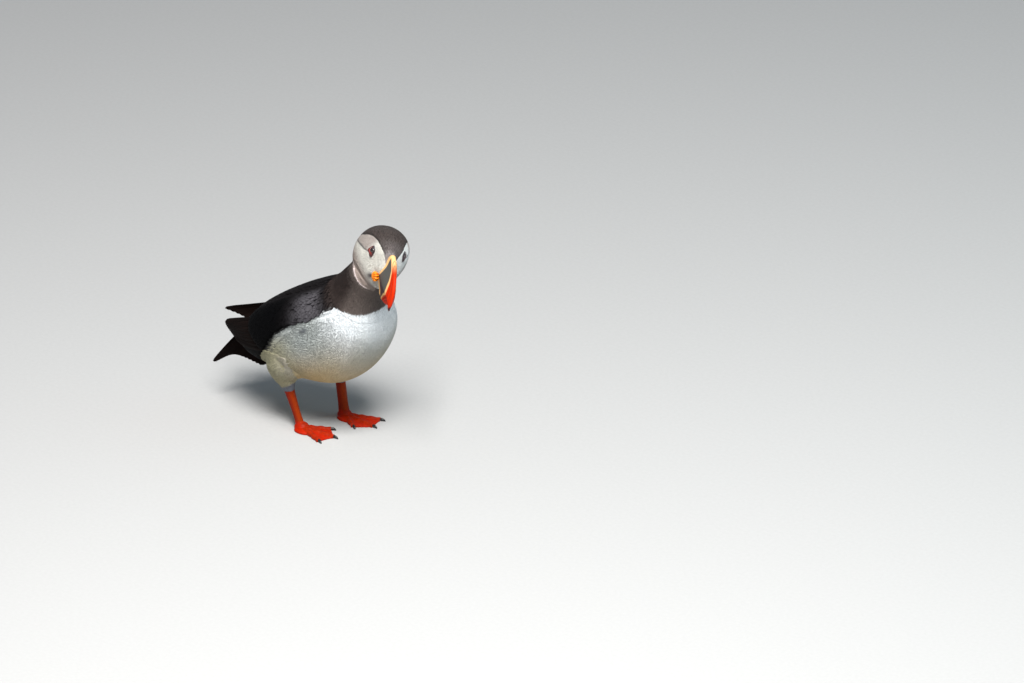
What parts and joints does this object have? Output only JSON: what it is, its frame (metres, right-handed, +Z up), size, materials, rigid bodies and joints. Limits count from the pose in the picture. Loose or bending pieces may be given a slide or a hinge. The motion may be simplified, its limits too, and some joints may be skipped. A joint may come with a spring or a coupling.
{
  "type": "atlantic puffin",
  "caption": "Life-size still model of a standing puffin with folded wings, its head turned to its right and bent down",
  "frame": {"origin": "on the floor, in the middle of the bounding box", "axes": "+X forward along the trunk, +Y to the bird's left, +Z up"},
  "size_m": [0.2348, 0.0914, 0.1986],
  "materials": {
    "black_plumage": "soft satin",
    "white_plumage": "silky matt",
    "orange_skin": "scaly satin",
    "orange_horn": "satin",
    "cream_horn": "satin",
    "dark_eye": "wet gloss",
    "black_claw": "satin"
  },
  "bodies": {
    "root": {"bill_lower": "orange_horn", "bill_upper": "orange_horn", "claw_left_inner": "black_claw", "claw_left_middle": "black_claw", "claw_left_outer": "black_claw", "claw_right_inner": "black_claw", "claw_right_middle": "black_claw", "claw_right_outer": "black_claw", "eye_left": "dark_eye", "eye_right": "dark_eye", "foot_left": "orange_skin", "foot_right": "orange_skin", "head": "white_plumage", "leg_left": "orange_skin", "leg_right": "orange_skin", "mantle": "black_plumage", "neck": "black_plumage", "quills_left": "black_plumage", "quills_right": "black_plumage", "rim_lower": "cream_horn", "rim_upper": "cream_horn", "rosette_left": "cream_horn", "rosette_right": "cream_horn", "tail": "black_plumage", "thigh_left": "white_plumage", "thigh_right": "white_plumage", "trunk": "white_plumage", "wing_left": "black_plumage", "wing_right": "black_plumage"}
  },
  "joints": []
}
